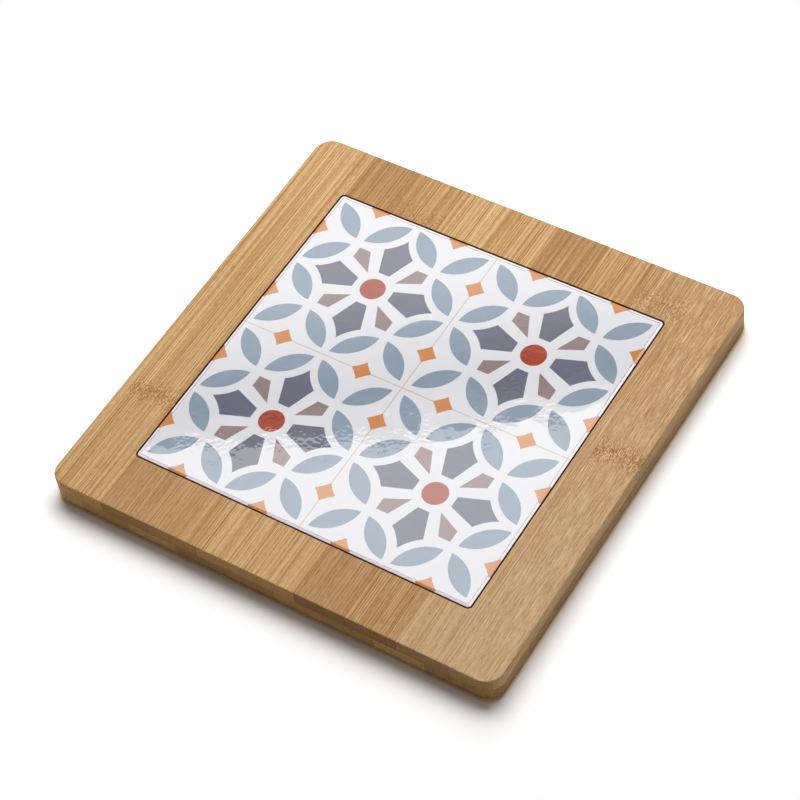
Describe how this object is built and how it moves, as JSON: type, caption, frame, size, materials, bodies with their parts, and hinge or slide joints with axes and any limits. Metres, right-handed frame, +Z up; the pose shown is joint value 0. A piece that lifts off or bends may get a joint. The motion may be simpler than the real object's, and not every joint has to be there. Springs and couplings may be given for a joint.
{
  "type": "trivet",
  "caption": "Square bamboo trivet with a printed, glazed ceramic tile set flush in its top, for standing hot pots and dishes on.",
  "frame": {"origin": "centre of the underside: the middle of the square footprint, on the plane that the pads rest on", "axes": "+Z up out of the glazed face, +Y along the bamboo's grain towards the back, +X across the slats to the right"},
  "size_m": [0.2, 0.2, 0.0131],
  "materials": {
    "bamboo_pale": "satin, oiled",
    "bamboo_golden": "satin, oiled",
    "bamboo_brown": "satin, oiled",
    "glazed_tile": "gloss glaze over a geometric print",
    "adhesive": "matte",
    "pad_rubber": "matte"
  },
  "bodies": {
    "root": {"base_slat_1": "bamboo_pale", "base_slat_2": "bamboo_golden", "base_slat_3": "bamboo_pale", "base_slat_4": "bamboo_brown", "base_slat_5": "bamboo_brown", "base_slat_6": "bamboo_golden", "base_slat_7": "bamboo_golden", "base_slat_8": "bamboo_pale", "base_slat_9": "bamboo_brown", "base_slat_10": "bamboo_pale", "top_slat_1": "bamboo_pale", "top_slat_2": "bamboo_pale", "top_slat_9": "bamboo_pale", "top_slat_10": "bamboo_pale", "top_slat_3_front": "bamboo_brown", "top_slat_3_back": "bamboo_brown", "top_slat_4_front": "bamboo_brown", "top_slat_4_back": "bamboo_brown", "top_slat_5_front": "bamboo_golden", "top_slat_5_back": "bamboo_golden", "top_slat_6_front": "bamboo_pale", "top_slat_6_back": "bamboo_pale", "top_slat_7_front": "bamboo_brown", "top_slat_7_back": "bamboo_brown", "top_slat_8_front": "bamboo_golden", "top_slat_8_back": "bamboo_golden", "adhesive": "adhesive", "ceramic_tile": "glazed_tile", "pad_front_left": "pad_rubber", "pad_front_right": "pad_rubber", "pad_back_left": "pad_rubber", "pad_back_right": "pad_rubber"}
  },
  "joints": []
}
